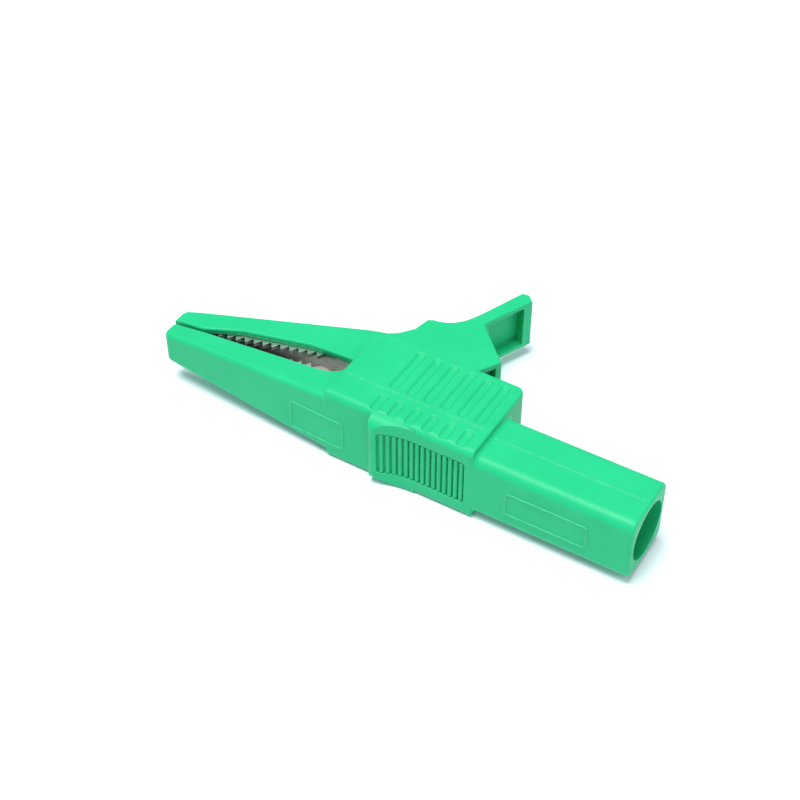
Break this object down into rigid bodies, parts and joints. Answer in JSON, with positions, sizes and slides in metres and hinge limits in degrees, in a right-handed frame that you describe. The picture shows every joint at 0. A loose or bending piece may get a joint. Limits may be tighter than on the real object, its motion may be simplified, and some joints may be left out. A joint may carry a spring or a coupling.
{
  "type": "insulated alligator clip",
  "caption": "Insulated alligator clip on its side: toothed metal jaws in a moulded plastic shell, sprung thumb lever and a shrouded rear socket for a test lead plug.",
  "frame": {"origin": "centre of the socket sleeve's rear mouth, on the socket's axis and on the mid-plane between the cheeks", "axes": "+X out of the socket's mouth, away from the jaws; +Y across the clip towards the thumb lever; +Z along the pivot pin, up from the cheek that the clip lies on"},
  "size_m": [0.086, 0.0415, 0.0141],
  "materials": {
    "green_shell": "fine satin moulded plastic",
    "nickel_plate": "bright nickel plate on stamped sheet",
    "pin_steel": "ground steel",
    "bush_brass": "turned",
    "spring_wire": "drawn spring wire"
  },
  "bodies": {
    "base": {"body_housing": "green_shell", "fixed_jaw_contact": "nickel_plate", "pivot_pin": "pin_steel", "pivot_bush": "bush_brass", "spring_coil": "spring_wire", "socket_contact": "nickel_plate", "socket_grip_ring": "spring_wire", "tail_cross_pin": "pin_steel"},
    "lever": {"lever_housing": "green_shell", "moving_jaw_contact": "nickel_plate", "spring_lever_leg": "spring_wire"}
  },
  "joints": [
    {"name": "lever_pivot", "type": "hinge", "parent": "base", "child": "lever", "pos_m": [-0.0455, 0.0046, 0], "axis": [0, 0, -1], "range_deg": [0, 26], "stiffness_Nm_per_rad": 0.01, "springref_deg": -1.72}
  ]
}
